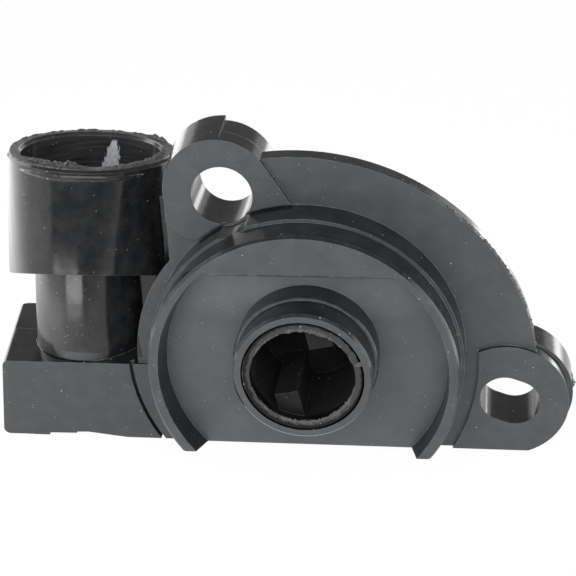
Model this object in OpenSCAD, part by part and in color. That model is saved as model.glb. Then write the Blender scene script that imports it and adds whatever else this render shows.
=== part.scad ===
// Rotary position sensor for a throttle shaft.
// X runs to the right, Z up, and Y from the mounting side to the back.
// The origin is on the rotor's axis, in the plane of the mounting pads.

/* [Hub] */
// Radius of the hub at its tip
hub_tip_r = 8.25; // [7.9:0.05:8.4]
// Radius of the hub at its foot
hub_foot_r = 8.6; // [8.45:0.05:9.2]
// How far the hub stands in front of the mounting pads
hub_front = 10.1; // [9:0.1:12]
// Length of the narrower tip of the hub
hub_tip_length = 3.7; // [2:0.1:5]
// Radius of the bore that the rotor turns in
rotor_bore_r = 7.25; // [7:0.05:7.4]

/* [Drum] */
// Radius of the round housing
drum_r = 19; // [18.6:0.1:20.5]
// Offset of the drum's centre from the rotor's axis, sideways
drum_x = -0.4; // [-1:0.1:0.5]
// Offset of the drum's centre from the rotor's axis, upwards
drum_z = -1.9; // [-2.4:0.1:-1]
// How far the drum's face stands in front of the mounting pads
drum_front = 3.4; // [2.8:0.1:4]
// Distance from the rotor's axis down to the drum's flat
drum_flat = 13.6; // [13.3:0.1:14.4]
// Thickness of the housing's walls
wall = 2; // [1.6:0.1:2.2]

/* [Collar] */
// Height of the open collar on the drum's face
collar_height = 3.8; // [2:0.1:5]
// Width of the ledge outside the collar
collar_ledge = 0.4; // [0.2:0.1:0.8]
// Thickness of the collar
collar_wall = 1.3; // [1:0.1:1.8]
// Slope of the collar's two ends
collar_end_slope = 13.5; // [0:0.5:20]

/* [Flange] */
// Radius of the flange's outer arc
flange_r = 28.8; // [27:0.1:30]
// Centre of the outer arc, sideways
flange_x = -1.5; // [-3:0.1:0]
// Centre of the outer arc, upwards
flange_z = -5.7; // [-7:0.1:-5]
// Radius of the flange's left edge
flange_left_r = 21; // [20:0.25:22]
// Thickness of the flange
flange_t = 2.1; // [1.6:0.1:3]
// How far the mounting pads stand in front of the flange
pad_proud = 0.55; // [0.3:0.05:1]
// Distance from the rotor's axis down to the flat base
base_drop = 15.75; // [15:0.25:17]

/* [Ears] */
// Thickness of the two ears
ear_t = 6.6; // [5:0.2:8]
// Radius of the upper ear
upper_ear_r = 6.55; // [6:0.05:7.5]
// Centre of the upper ear, sideways
upper_ear_x = -10.4; // [-11:0.1:-9]
// Centre of the upper ear, upwards
upper_ear_z = 18.85; // [18:0.05:20]
// Radius of the round screw hole
screw_hole_r = 3.65; // [3:0.05:3.8]
// Radius of the side ear
side_ear_r = 7.6; // [7:0.1:8.5]
// Centre of the side ear, sideways
side_ear_x = 23.6; // [22.5:0.1:25]
// Centre of the side ear, upwards
side_ear_z = -8.7; // [-9.5:0.1:-8]
// Width of the slot in the side ear
slot_w = 6.1; // [5:0.1:6.6]
// Length of the slot, end to end
slot_length = 7.4; // [6.8:0.1:8.4]

/* [Connector] */
// Left end of the connector block at its front, from the rotor's axis
block_reach = 39.4; // [39:0.1:42]
// Turn of the block's left end away from the tower's side
block_splay = 6.5; // [0:0.5:8]
// Draft of the block's left end
block_draft = 5; // [0:0.5:6]
// Distance from the rotor's axis down to the block's top
block_drop = 4.9; // [4.5:0.1:5.2]
// Distance of the block's front face behind the mounting pads
block_front = 0.1; // [0:0.1:0.5]
// Distance of the back of the housing behind the mounting pads
housing_back = 15.6; // [15:0.1:17]
// Distance of the tower's axis from the block's left end, at its foot
tower_inset = 10; // [9.6:0.1:10.4]
// Distance of the tower's axis behind the mounting pads, at its foot
tower_y = 7.7; // [7.5:0.1:8.2]
// Height of the tower along its own axis
tower_height = 24.5; // [23.5:0.1:27]
// Lean of the tower away from the mounting side
lean_back = 9; // [5:0.5:10]
// Lean of the tower towards the drum
lean_side = 3; // [2:0.5:3]
// Outer radius of the connector's shroud
shroud_r = 10.4; // [9.8:0.05:10.45]
// Wall of the connector's shroud
shroud_wall = 1.8; // [1.2:0.1:2]
// Depth of the connector's socket
socket_depth = 12; // [10:0.5:12.5]
// Radius of the neck below the shroud
neck_r = 7.2; // [6.5:0.05:7.25]
// Slant of the shroud's underside
underside_slant = 26; // [22:0.5:30]
// Height of the shroud's underside over the tower's foot
underside_height = 8.7; // [8.2:0.1:9.2]

/* [Rotor] */
// Running clearance of the rotor in its bearings, on the radius
running_clearance = 0.05; // [0.02:0.01:0.08]
// Radius of the socket for the throttle shaft
drive_socket_r = 6.2; // [5.8:0.05:6.3]
// Depth of the socket
drive_socket_depth = 11.4; // [10:0.1:11.8]
// Visible gap round the rotor's tip
tip_gap = 0.25; // [0.15:0.05:0.4]
// Radius of the rotor's disc
disc_r = 11.2; // [10.8:0.1:11.3]
// Thickness of the rotor's disc
disc_t = 1.5; // [1.2:0.1:1.8]
// Radius of the rotor's rear journal
journal_r = 3; // [2.5:0.1:3.2]
// Travel of the rotor in degrees
travel = 100; // [80:5:110]

/* [Contacts] */
// Thickness of the element board
board_t = 1.2; // [1:0.1:1.5]
// Mean radius of the resistive track
track_r = 9.5; // [9:0.1:9.8]
// Mean radius of the collector track
collector_r = 6.6; // [6:0.1:7]
// Width of both tracks
track_w = 1.4; // [1:0.1:1.6]
// Width of the terminals
terminal_w = 1.1; // [0.8:0.1:1.2]
// Thickness of the terminals
terminal_t = 0.8; // [0.6:0.1:0.9]
// Spacing of the terminals in the connector
terminal_pitch = 4; // [3.6:0.1:4.2]
// Radius of the return spring's wire
wire_r = 0.35; // [0.25:0.05:0.4]
// Turns of the return spring
spring_turns = 2.5; // [1.5:0.5:3]

/* [Hidden] */
$fn = 64;

plastic = [0.13, 0.14, 0.15];
slack = 0.1;
edge = 0.3;
groove_w = 0.5;
groove_deep = 0.5;
big = 100;

flange_y = pad_proud;
flange_back = flange_y + flange_t;
collar_front = drum_front + collar_height;
collar_r = drum_r - collar_ledge;
base_z = -base_drop;
flat_z = -drum_flat;
block_top = -block_drop;
left_x = -0.95;
left_z = -4.2;
ear_left = upper_ear_x - upper_ear_r + slack;
ear_join_angle = 35;
pad_gap = 0.3;
slot_x = 24.05;
slot_z = side_ear_z + 0.1;
slot_angle = atan2(slot_z, slot_x);
hole_x = -9.95;
hole_z = 18.35;
side_border_r = 26.5;
side_border_x = -6.3;
side_border_z = -3.4;
round_r = 0.8;

inner_front = -drum_front + wall;
cavity_r = drum_r - wall;
cavity_flat = drum_flat - wall;
ledge_w = 1;
pocket_left = -block_reach + 2;
pocket_right = -12;
pocket_top = -6.6;
pocket_bottom = -12.5;
pocket_front = 5.5;
cover_t = 2;
cover_front = housing_back - cover_t;
seat_w = 1;
seal_w = 0.6;
seal_t = 0.5;
seal_in = 0.2;
seal_play = 0.05;

boss_r = 9.7;
boss_back = 2;
seal_pocket_r = 8.7;
seal_pocket_y = 0.4;
washer_t = 0.3;
disc_y = boss_back + washer_t + slack;
disc_back = disc_y + disc_t;
tip_y = -hub_front + slack;
tip_length = 1.5;
rotor_tip_r = rotor_bore_r - tip_gap;
journal_front_r = rotor_bore_r - running_clearance;
socket_floor = tip_y + drive_socket_depth;
lug_w = 2.8;
lug_in = 2.6;
lug_offset = 1.4;
lug_front = tip_y + 1.5;
lug_turn = 12;
stop_reach = disc_r + 1.4;
stop_half = 7;
stop_rest = 40;
stop_gap = 1;
stop_w = 2.4;
stop_in = 11.5;

board_y = 6.7;
board_back = board_y + board_t;
board_hole_r = journal_r + 0.6;
track_t = 0.08;
track_margin = 12;
wiper_angle = stop_rest;
wiper_root = journal_r + 1;
wiper_half = 3;
strip_t = 0.25;
arm_w = 1;
strip_hole_in = 1.2;
strip_hole_z = 1.6;
brush_length = 3.4;
journal_back = 11;
bearing_y = 9;
bearing_r = journal_r + 1.6;
post_r = 1.3;
post_ring = cavity_r - 4;
post_angles = [90, 218, 322];

terminal_y = board_y - slack - terminal_t / 2;
leg_z = [-10.8, -9.1, -7.4];
rivet_ring = cavity_r - 2.8;
rivet_r = 0.3;
rivet_head_r = 0.5;
rivet_head = 0.2;
blade_top = tower_height - 6;
potting_level = 1;
potting_reach = 9.4;
spring_r = 10.4;
spring_y0 = inner_front + wire_r + slack;
spring_y1 = boss_back - wire_r;
spring_start = 200;
leg_reach = 13.6;
neck_root = 1;
rim_chamfer = 0.45;
core_taper = 0.38;
core_tilt = 8.5;
core_over = 2;
socket_r = shroud_r - shroud_wall;
web_y = ear_t;
web_t = 3;
web_top = 15.1;
web_reach = 23;
web_root = 15.5;
block_end = 6;
seam_step = 0.03;
sag_back = 5;
sag_points = [[5, -1], [5, 0.33], [8.6, 0.39], [8.6, 0.57], [10.1, 0.63], [16, -0.1], [16, -1]];
tower_x = block_reach - tower_inset;
back_round = 1.2;
corner_turn = 30;
parting_y = 8.5;
parting_step = 0.12;
ear_parting = 2.2;
ear_step = 0.2;
ear_seam = 0.4;
side_shift = 0.5;
relief_r = 6.4;
driver_x = -12.4;
driver_z = 13;
driver_r = 4.5;
hole_relief = 0.25;

// Helpers: a 2D outline in X and Z made solid between two depths, and turned shapes about Y
module slab(y0, y1) translate([0, y1, 0]) rotate([90, 0, 0]) linear_extrude(y1 - y0) children();
module turned() rotate([-90, 0, 0]) rotate_extrude() children();
module rod(r, y0, y1) translate([0, y1, 0]) rotate([90, 0, 0]) cylinder(r = r, h = y1 - y0);
module above(z) translate([-big, z]) square([2 * big, big]);
module in_tower() translate([-tower_x, tower_y, block_top]) rotate([-lean_back, lean_side, 0]) children();

// Outlines in X and Z
module drum_outline(r, flat) intersection() {
    translate([drum_x, drum_z]) circle(r);
    above(-flat);
}

module flange_outline() intersection() {
    union() {
        intersection() {
            translate([flange_x, flange_z]) circle(flange_r);
            translate([ear_left, -big]) square([big, 2 * big]);
        }
        translate([left_x, left_z]) circle(flange_left_r);
    }
    above(base_z);
}

module upper_ear_outline() {
    join = [upper_ear_x + upper_ear_r * cos(ear_join_angle), upper_ear_z + upper_ear_r * sin(ear_join_angle)];
    translate([upper_ear_x, upper_ear_z]) circle(upper_ear_r);
    polygon([[ear_left, upper_ear_z], [ear_left, 14.9], [-16.4, 14.2], [-15.3, 13.2], [-14.5, 12.7],
             [-13.7, 12.6], [-11, 10], [-2, 10], [-1.7, 17.2], join, [upper_ear_x, upper_ear_z]]);
}

module side_ear_outline() intersection() {
    union() {
        translate([side_ear_x, side_ear_z]) circle(side_ear_r);
        translate([10, base_z]) square([side_ear_x - 10, side_ear_z - base_z]);
    }
    above(base_z);
}

module side_pad_outline() difference() {
    side_ear_outline();
    translate([side_border_x, side_border_z]) circle(side_border_r);
}

module upper_pad_outline() difference() {
    upper_ear_outline();
    translate([drum_x, drum_z]) circle(drum_r + pad_gap);
}

module slot_outline() translate([slot_x, slot_z]) rotate(slot_angle) {
    side = (slot_length - slot_w) / 2;
    translate([-side, 0]) circle(slot_w / 2);
    translate([side, 0]) circle(slot_w / 2);
    square([2 * side, slot_w], center = true);
}

// Left end of the block, counted from its front top corner: drafted, with two rounded corners
module block_end_outline() {
    height = block_top - base_z - seam_step;
    drift = height * tan(block_draft);
    low = [round_r - drift, round_r - height];
    high = [round_r, -round_r];
    translate(high) circle(round_r);
    translate(low) circle(round_r);
    polygon([[high[0], 0], [block_end, 0], [block_end, -height], [low[0], -height],
             low - round_r * [cos(block_draft), -sin(block_draft)],
             high - round_r * [cos(block_draft), -sin(block_draft)]]);
}

// Room behind the upper ear for the screw's head, and for the driver that comes in from the left
module screw_relief(grow) {
    translate([hole_x, hole_z]) circle(relief_r + grow);
    translate([driver_x, driver_z]) circle(driver_r + grow);
}

module round_cavity(grow) difference() {
    drum_outline(cavity_r + grow, cavity_flat + grow);
    screw_relief(wall - grow);
}

module cavity_outline(grow) {
    round_cavity(grow);
    translate([pocket_left - grow, pocket_bottom - grow])
        square([pocket_right - pocket_left + 2 * grow, pocket_top - pocket_bottom + 2 * grow]);
}

// The housing's outside
module hub_solid() turned() polygon([[0, inner_front], [hub_foot_r, inner_front],
    [hub_foot_r, -hub_front + hub_tip_length],
    [hub_foot_r - edge / 2, -hub_front + hub_tip_length - edge / 2],
    [hub_tip_r, -hub_front + hub_tip_length - edge / 2],
    [hub_tip_r, -hub_front + edge], [hub_tip_r - edge, -hub_front], [0, -hub_front]]);

// Open collar: its inside narrows towards the drum's face, and a slanted plane cuts its ends
module collar_solid() {
    inner = collar_r - collar_wall;
    narrowing = core_taper / collar_height;
    difference() {
        translate([drum_x, 0, drum_z]) turned() polygon([[0, edge - drum_front],
            [collar_r, edge - drum_front], [collar_r, edge - collar_front],
            [collar_r - edge, -collar_front], [0, -collar_front]]);
        translate([drum_x, -collar_front, drum_z]) rotate([-90 - core_tilt, 0, 0])
            translate([0, 0, -core_over])
                cylinder(r1 = inner + narrowing * core_over,
                    r2 = inner - narrowing * (collar_height + core_over),
                    h = collar_height + 2 * core_over);
        translate([0, -drum_front, flat_z]) rotate([-collar_end_slope, 0, 0])
            translate([-big / 2, -big / 2, -big]) cube([big, big, big]);
    }
}

// Neck and shroud, the shroud cut off underneath by a plane that rises to the front
module tower_solid() {
    in_tower() translate([0, 0, -neck_root])
        cylinder(r = neck_r, h = tower_height - socket_depth + neck_root);
    difference() {
        in_tower() rotate_extrude() polygon([[0, 0], [shroud_r, 0], [shroud_r, tower_height - rim_chamfer],
            [shroud_r - rim_chamfer, tower_height], [0, tower_height]]);
        translate([-tower_x, tower_y, block_top + underside_height]) rotate([-underside_slant, 0, 0])
            translate([-big / 2, -big / 2, -big]) cube([big, big, big]);
    }
}

module web_solid() translate([-web_reach, web_y, block_top - 1])
    cube([web_reach - web_root, web_t, web_top - block_top + 1]);

// Connector block: its left end is turned, the top steps down at the mould's parting line, and the
// underside has sagged along the front
module block_solid() difference() {
    intersection() {
        union() {
            translate([-block_reach, 0, block_top]) rotate([0, 0, block_splay])
                slab(-block_end, housing_back + block_end) block_end_outline();
            slab(block_front, housing_back) translate([block_end / 2 - block_reach, base_z])
                square([block_reach - block_end / 2, block_top - base_z]);
        }
        translate([0, 0, base_z - 1]) linear_extrude(block_top - base_z + 2) block_plan();
    }
    translate([-2 * block_reach, parting_y, block_top - parting_step])
        cube([2 * block_reach - neck_r, big, big]);
    slab(-1, sag_back) polygon([for (p = sag_points) [p[0] - block_reach, base_z + p[1]]]);
}

module block_plan() {
    left = -block_reach - block_end;
    corner = [back_round - block_reach - (housing_back - block_front) * tan(block_splay),
              housing_back - back_round];
    side = corner + back_round * [-cos(corner_turn), sin(corner_turn)];
    out = side - block_end * [sin(corner_turn), cos(corner_turn)];
    translate(corner) circle(back_round);
    polygon([out, [left, out[1]], [left, block_front], [0, block_front], [0, housing_back],
             [corner[0], housing_back], corner, side]);
}

module stop_ribs() for (a = [stop_rest - stop_half - stop_gap, stop_rest + travel + stop_half + stop_gap])
    rotate([0, -a, 0]) translate([stop_in, inner_front - slack, a < 90 ? -stop_w : 0])
        cube([cavity_r - stop_in - 1.4, disc_back - inner_front, stop_w]);

// Post that holds the return spring's fixed end
module spring_post() rotate([0, -spring_start, 0]) difference() {
    translate([spring_r + 2, inner_front - slack, -1.5]) cube([2.4, 2.4, 3]);
    translate([spring_r + 1, spring_y0 - wire_r - slack, -wire_r - slack])
        cube([5, 3, 2 * (wire_r + slack)]);
}

// Ears: the back mould half drew them wider on one side, from the parting line on
module ear_solids() {
    slab(flange_y + slack, ear_parting) {
        side_ear_outline();
        upper_ear_outline();
    }
    slab(ear_parting, ear_t) {
        intersection() {
            translate([side_shift, 0]) side_ear_outline();
            above(base_z);
        }
        difference() {
            upper_ear_outline();
            translate([upper_ear_x + ear_seam, upper_ear_z]) difference() {
                square([big, big]);
                translate([-ear_seam, 0]) circle(upper_ear_r - ear_step);
            }
        }
    }
    intersection() {
        translate([upper_ear_x, ear_t, upper_ear_z]) rotate([90, 0, 0])
            cylinder(r1 = upper_ear_r + 2 * ear_step, r2 = upper_ear_r, h = ear_t - slack);
        translate([upper_ear_x + ear_seam - big, 0, upper_ear_z - 1]) cube([big, big, big]);
    }
}

module housing_body() {
    slab(flange_y, flange_back) flange_outline();
    slab(0, flange_back) {
        side_pad_outline();
        upper_pad_outline();
    }
    ear_solids();
    slab(0, flange_back) drum_outline(drum_r, drum_flat);
    difference() {
        slab(flange_back - 1, housing_back) drum_outline(drum_r, base_drop);
        slab(ear_t, housing_back + 1) screw_relief(0);
    }
    block_solid();
    web_solid();
    tower_solid();
}

module housing() color(plastic) difference() {
    union() {
        difference() {
            union() {
                difference() {
                    housing_body();
                    translate([hole_x, 0, hole_z]) rod(screw_hole_r, -1, ear_t + 1);
                    slab(-1, ear_t + 1) slot_outline();
                }
                slab(-drum_front, 0) difference() {
                    drum_outline(drum_r, drum_flat);
                    translate([hole_x, hole_z]) circle(screw_hole_r + hole_relief);
                }
                collar_solid();
            }
            difference() {
                slab(inner_front, board_y - slack / 2) drum_outline(cavity_r - ledge_w, cavity_flat);
                slab(ear_t - wall, board_y) screw_relief(wall);
            }
            slab(board_y - slack / 2, housing_back + 1) round_cavity(0);
            slab(pocket_front, housing_back + 1) cavity_outline(0);
            slab(cover_front - slack, housing_back + 1) cavity_outline(seat_w);
            slab(cover_front - seal_t, housing_back) difference() {
                cavity_outline(seat_w - seal_in);
                cavity_outline(seat_w - seal_in - seal_w - slack);
            }
        }
        hub_solid();
        rod(boss_r, inner_front - 1, boss_back);
        intersection() {
            stop_ribs();
            slab(-drum_front, board_y) drum_outline(cavity_r, cavity_flat);
        }
        spring_post();
    }
    rod(rotor_bore_r, -hub_front - 1, boss_back + 1);
    rod(seal_pocket_r, seal_pocket_y, boss_back + 1);
    slab(flange_y - 1, flange_y + groove_deep) intersection() {
        translate([left_x, left_z]) difference() {
            circle(flange_left_r + 1.1);
            circle(flange_left_r + 1.1 - groove_w);
        }
        translate([-big, -big]) square([big, big + block_top]);
    }
    in_tower() rotate_extrude() polygon([[0, tower_height - socket_depth],
        [socket_r, tower_height - socket_depth], [socket_r, tower_height - rim_chamfer],
        [socket_r + rim_chamfer, tower_height], [socket_r + rim_chamfer, big], [0, big]]);
    terminal_channels();
}

// Terminals: a blade in the tower and a leg to the board
module blade(i, grow) in_tower() translate([(i - 1) * terminal_pitch, 0, 0]) {
    low = leg_z[i] - block_top - terminal_w / 2;
    translate([-terminal_w / 2 - grow, -terminal_t / 2 - grow, low - grow])
        cube([terminal_w + 2 * grow, terminal_t + 2 * grow, blade_top - low + 2 * grow]);
}

function blade_x(i) = -tower_x + (i - 1) * terminal_pitch + (leg_z[i] - block_top) * tan(lean_side);
function rivet_x(i) = drum_x - sqrt(max(rivet_ring * rivet_ring - pow(leg_z[i] - drum_z, 2), 1));
function blade_y(i) = tower_y + (leg_z[i] - block_top) * tan(lean_back);

module leg(i, grow) {
    x0 = blade_x(i) - terminal_w / 2 - grow;
    y0 = min(blade_y(i), terminal_y) - terminal_t / 2 - grow;
    y1 = max(blade_y(i), terminal_y) + terminal_t / 2 + grow;
    translate([x0, terminal_y - terminal_t / 2 - grow, leg_z[i] - terminal_w / 2 - grow])
        cube([rivet_x(i) + terminal_w - x0, terminal_t + 2 * grow, terminal_w + 2 * grow]);
    translate([x0, y0, leg_z[i] - terminal_w / 2 - grow])
        cube([terminal_w + 2 * grow, y1 - y0, terminal_w + 2 * grow]);
}

module terminal(i) color([0.72, 0.6, 0.35]) difference() {
    union() {
        blade(i, 0);
        leg(i, 0);
    }
    translate([rivet_x(i), 0, leg_z[i]])
        rod(rivet_r + slack / 2, board_y - 2 * terminal_t, board_y + board_t);
}

module terminal_channels() for (i = [0:2]) {
    blade(i, slack);
    leg(i, slack);
}

module terminal_supply() terminal(0);
module terminal_signal() terminal(1);
module terminal_ground() terminal(2);

module board_rivets() color([0.75, 0.75, 0.72]) for (i = [0:2])
    translate([rivet_x(i), 0, leg_z[i]]) {
        rod(rivet_r, board_y - terminal_t - 2 * slack, board_back + rivet_head);
        rod(rivet_head_r, board_back, board_back + rivet_head);
        rod(rivet_head_r, board_y - terminal_t - slack - rivet_head, board_y - terminal_t - slack);
    }

module potting() color([0.2, 0.2, 0.22]) slab(tower_y + terminal_t, cover_front - potting_level)
    translate([pocket_left + slack, pocket_bottom + slack])
        square([potting_reach - tower_x - pocket_left, pocket_top - pocket_bottom - 2 * slack]);

// Rear cover with its board posts and the rotor's rear bearing
module rear_cover() color([0.15, 0.15, 0.16]) difference() {
    union() {
        slab(cover_front, housing_back) cavity_outline(seat_w - slack);
        rod(bearing_r, bearing_y, cover_front + slack);
        for (a = post_angles)
            translate([post_ring * cos(a), 0, post_ring * sin(a)])
                rod(post_r, board_back + slack, cover_front + slack);
    }
    rod(journal_r + running_clearance, bearing_y - 1, journal_back + 0.5);
}

module cover_seal() color([0.1, 0.1, 0.1])
    slab(cover_front - seal_t + seal_play, cover_front - seal_play) difference() {
        cavity_outline(seat_w - seal_in - seal_play);
        cavity_outline(seat_w - seal_in - seal_play - seal_w);
    }

// Rotor, its drive lugs and its stop
module rotor() color([0.08, 0.08, 0.08]) {
    difference() {
        union() {
            turned() polygon([[0, tip_y], [rotor_tip_r, tip_y], [rotor_tip_r, tip_y + tip_length],
                [journal_front_r, tip_y + tip_length], [journal_front_r, seal_pocket_y - 0.2],
                [rotor_tip_r, seal_pocket_y], [rotor_tip_r, disc_y], [disc_r, disc_y], [disc_r, disc_back],
                [journal_r, disc_back], [journal_r, journal_back - edge], [journal_r - edge, journal_back],
                [0, journal_back]]);
            slab(disc_y, disc_back) difference() {
                rotate(stop_rest - stop_half) intersection() {
                    circle(stop_reach);
                    polygon([[0, 0], [big, 0], [big * cos(2 * stop_half), big * sin(2 * stop_half)]]);
                }
                circle(disc_r - 1);
            }
        }
        rod(drive_socket_r, tip_y - 1, socket_floor);
        rotate([0, -spring_start - 360 * spring_turns, 0]) translate([spring_r, 0, 0])
            rod(wire_r + slack, disc_y - 1, disc_back + 1);
    }
    intersection() {
        for (a = [lug_turn, lug_turn + 180]) rotate([0, -a, 0])
            translate([-lug_offset - lug_w, lug_front, -rotor_tip_r])
                cube([lug_w, socket_floor + slack - lug_front, rotor_tip_r - lug_in]);
        rod(drive_socket_r + 0.4, tip_y, disc_y);
    }
}

module shaft_seal() color([0.12, 0.1, 0.1]) turned() polygon([
    [rotor_tip_r + slack, seal_pocket_y + 0.55], [rotor_tip_r + 0.6, seal_pocket_y + slack],
    [seal_pocket_r - slack / 2, seal_pocket_y + slack], [seal_pocket_r - slack / 2, boss_back - slack],
    [rotor_tip_r + 0.6, boss_back - slack], [rotor_tip_r + slack, seal_pocket_y + 0.95]]);

module thrust_washer() color([0.75, 0.72, 0.6]) turned() polygon([
    [rotor_tip_r + 0.3, boss_back + slack / 2], [boss_r - 0.2, boss_back + slack / 2],
    [boss_r - 0.2, boss_back + slack / 2 + washer_t], [rotor_tip_r + 0.3, boss_back + slack / 2 + washer_t]]);

// Return spring: a wire swept along its path
function spring_point(t) = [spring_r * cos(spring_start + 360 * spring_turns * t),
    spring_y0 + (spring_y1 - spring_y0) * t, spring_r * sin(spring_start + 360 * spring_turns * t)];
spring_steps = ceil(spring_turns * 24);
wire_sides = 8;
tail = [0, 1, 0];
spring_path = concat(
    [[leg_reach * cos(spring_start), spring_y0, leg_reach * sin(spring_start)],
     [(spring_r + 0.8) * cos(spring_start), spring_y0, (spring_r + 0.8) * sin(spring_start)]],
    [for (i = [1:spring_steps - 1]) spring_point(i / spring_steps)],
    [spring_point(1) + tail * 0.5, spring_point(1) + tail * (disc_back - spring_y1 - slack)]);

function unit(v) = v / norm(v);
function heading(i) = unit(spring_path[min(i + 1, len(spring_path) - 1)] - spring_path[max(i - 1, 0)]);
function across(i) = unit(cross(heading(i), unit([spring_path[i][0], 0.31 * spring_r, spring_path[i][2]])));

module return_spring() color([0.7, 0.7, 0.72]) {
    count = len(spring_path);
    rings = [for (i = [0:count - 1], k = [0:wire_sides - 1])
        spring_path[i] + wire_r * (cos(k * 360 / wire_sides) * across(i)
            + sin(k * 360 / wire_sides) * cross(heading(i), across(i)))];
    sides = [for (i = [0:count - 2], k = [0:wire_sides - 1])
        let (a = i * wire_sides + k, b = i * wire_sides + (k + 1) % wire_sides)
        [a, b, b + wire_sides, a + wire_sides]];
    ends = [[for (k = [wire_sides - 1:-1:0]) k], [for (k = [0:wire_sides - 1]) (count - 1) * wire_sides + k]];
    polyhedron(points = rings, faces = concat([for (f = sides) [f[3], f[2], f[1], f[0]]],
        [for (f = ends) [for (j = [len(f) - 1:-1:0]) f[j]]]), convexity = 6);
}

// Element board and its printed tracks
module element_board() color([0.85, 0.83, 0.76]) difference() {
    slab(board_y, board_back) round_cavity(-slack);
    rod(board_hole_r, board_y - 1, board_back + 1);
    for (i = [0:2]) translate([rivet_x(i), 0, leg_z[i]])
        rod(rivet_r + slack / 2, board_y - 1, board_back + 1);
}

module track(r) slab(board_y - track_t, board_y) difference() {
    first = wiper_angle - track_margin;
    last = wiper_angle + travel + track_margin;
    intersection() {
        circle(r + track_w / 2);
        polygon([[0, 0], big * [cos(first), sin(first)], [big, big], [-big, big],
                 big * [cos(last), sin(last)]]);
    }
    circle(r - track_w / 2);
}
module resistive_track() color([0.12, 0.12, 0.12]) track(track_r);
module collector_track() color([0.6, 0.6, 0.58]) track(collector_r);

// Wiper: a stamped spring arm with a brush for each track
module wiper() color([0.8, 0.65, 0.35]) rotate([0, -wiper_angle, 0]) {
    reach = board_y - track_t - slack;
    difference() {
        translate([wiper_root, disc_back, -wiper_half])
            cube([track_r + arm_w - wiper_root, strip_t, 2 * wiper_half]);
        for (side = [-1, 1]) translate([wiper_root + strip_hole_in, 0, side * strip_hole_z])
            rod(rivet_head_r, disc_back - 1, disc_back + 1);
    }
    for (r = [track_r, collector_r]) translate([r - arm_w / 2, 0, wiper_half - strip_t]) {
        translate([0, disc_back, 0]) cube([arm_w, reach - disc_back, strip_t]);
        translate([0, reach - strip_t, -brush_length]) cube([arm_w, strip_t, brush_length + strip_t]);
    }
}

housing();
rear_cover();
cover_seal();
rotor();
shaft_seal();
thrust_washer();
return_spring();
wiper();
element_board();
resistive_track();
collector_track();
terminal_supply();
terminal_signal();
terminal_ground();
board_rivets();
potting();
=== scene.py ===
import math
import random

import bpy
from bpy.props import FloatProperty, FloatVectorProperty, IntProperty, PointerProperty
from mathutils import Matrix, Vector, noise as perlin


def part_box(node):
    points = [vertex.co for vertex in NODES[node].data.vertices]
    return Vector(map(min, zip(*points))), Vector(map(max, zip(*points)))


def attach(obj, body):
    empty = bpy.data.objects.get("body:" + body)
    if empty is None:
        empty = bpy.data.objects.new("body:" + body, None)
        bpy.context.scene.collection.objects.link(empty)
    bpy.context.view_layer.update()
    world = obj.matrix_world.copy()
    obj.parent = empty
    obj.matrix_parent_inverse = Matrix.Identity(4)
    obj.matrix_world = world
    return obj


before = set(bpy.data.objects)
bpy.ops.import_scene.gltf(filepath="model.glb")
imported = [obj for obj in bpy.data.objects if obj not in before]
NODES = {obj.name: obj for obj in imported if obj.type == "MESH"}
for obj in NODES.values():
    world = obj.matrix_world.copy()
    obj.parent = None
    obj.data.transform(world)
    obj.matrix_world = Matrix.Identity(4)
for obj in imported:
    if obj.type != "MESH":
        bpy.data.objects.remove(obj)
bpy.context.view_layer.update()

bl_info = {
    "name": "Throttle position sensor finishes",
    "version": (1, 0, 0),
    "blender": (4, 5, 0),
    "location": "View3D > Sidebar > Sensor",
    "description": "Gives a throttle position sensor its finishes, its moulding flash and a plain studio",
    "category": "Object",
}

MM = 0.001
FLOOR_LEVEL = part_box("housing")[0].z

# The part's own sizes, in millimetres, where the flash and the masks sit
TOWER_FOOT = Vector((-29.4, 7.7, -4.9))
TOWER_TURN = Matrix.Rotation(math.radians(3), 3, "Y") @ Matrix.Rotation(math.radians(-9), 3, "X")
TOWER_AXIS = TOWER_TURN @ Vector((0, 0, 1))
TOWER_HEIGHT = 24.5
SHROUD_R = 10.4
SOCKET_R = 8.6
PLUG_DEPTH = 12.0
DRUM_X, DRUM_Z = -0.4, -1.9
DRUM_FRONT = -3.4
RECESS_R = 17.0
ROTOR_FRONT = -10.0
DRIVE_R = 6.2
ROTOR_R = 7.0
FLANGE_X, FLANGE_Z, FLANGE_R = -1.5, -5.7, 28.8
FLANGE_FRONT = 0.55
EAR_X, EAR_Z, EAR_R, EAR_BACK = -10.4, 18.85, 6.55, 6.6
SIDE_EAR_X, SIDE_EAR_Z, SIDE_EAR_R = 23.6, -8.7, 7.6
FORWARD = (0, -1, 0)

# The painted highlight on the shroud's back wall, a lamp's reflection: its middle where Z is none, its lean
# to the right, its foot and its tip
HIGHLIGHT_X, HIGHLIGHT_LEAN = -30.85, 0.22
HIGHLIGHT_FOOT, HIGHLIGHT_TIP = 12.6, 17.2

# Colours that only one mark has
RIM_CRUST = (0.2, 0.195, 0.18)
PLUG_LINES = (0.06, 0.06, 0.062)
RUBBED_MOUTH = (0.055, 0.055, 0.055)
SOCKET_DIRT = (0.014, 0.012, 0.01)
# Painted shade in the gap round the rotor's mouth
PAINTED_GAP_SHADE = (0.002, 0.002, 0.002)

# Cross-section of a ridge of flash: across and up, as shares of its half width and its height
RIDGE_PROFILE = ((-1, -0.12), (-0.85, 0.6), (-0.1, 1.0), (0.8, 0.65), (1, -0.12))


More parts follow.
